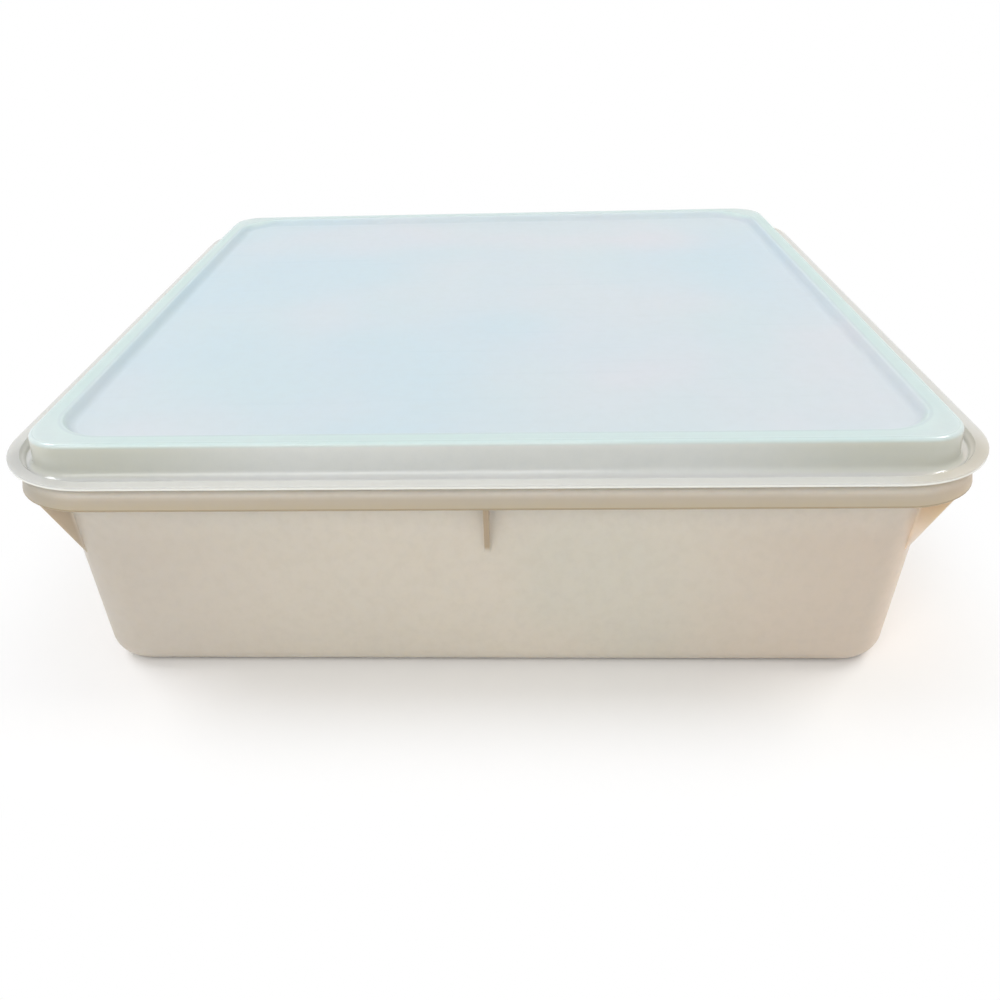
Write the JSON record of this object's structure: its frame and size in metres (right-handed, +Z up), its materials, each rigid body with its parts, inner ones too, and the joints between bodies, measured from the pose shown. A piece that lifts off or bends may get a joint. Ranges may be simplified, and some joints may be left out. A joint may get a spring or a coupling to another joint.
{
  "type": "food storage container",
  "caption": "Low square plastic food keeper: a tapered container with a ledge, turned-down skirt and ribs, and a press-on lid with a recessed panel and wide flange.",
  "frame": {"origin": "middle of the container's footprint, on the surface that it stands on", "axes": "+Z up, the way the lid lifts off; X and Y along the sides of the square"},
  "size_m": [0.25, 0.25, 0.0734],
  "materials": {
    "container_plastic": "satin, slightly cloudy",
    "lid_plastic": "satin, slightly cloudy"
  },
  "bodies": {
    "container": {"container": "container_plastic"},
    "lid": {"lid": "lid_plastic"}
  },
  "joints": [
    {"name": "lid_lift", "type": "slide", "parent": "container", "child": "lid", "axis": [0, 0, 1], "range_m": [0, 0.1]}
  ]
}
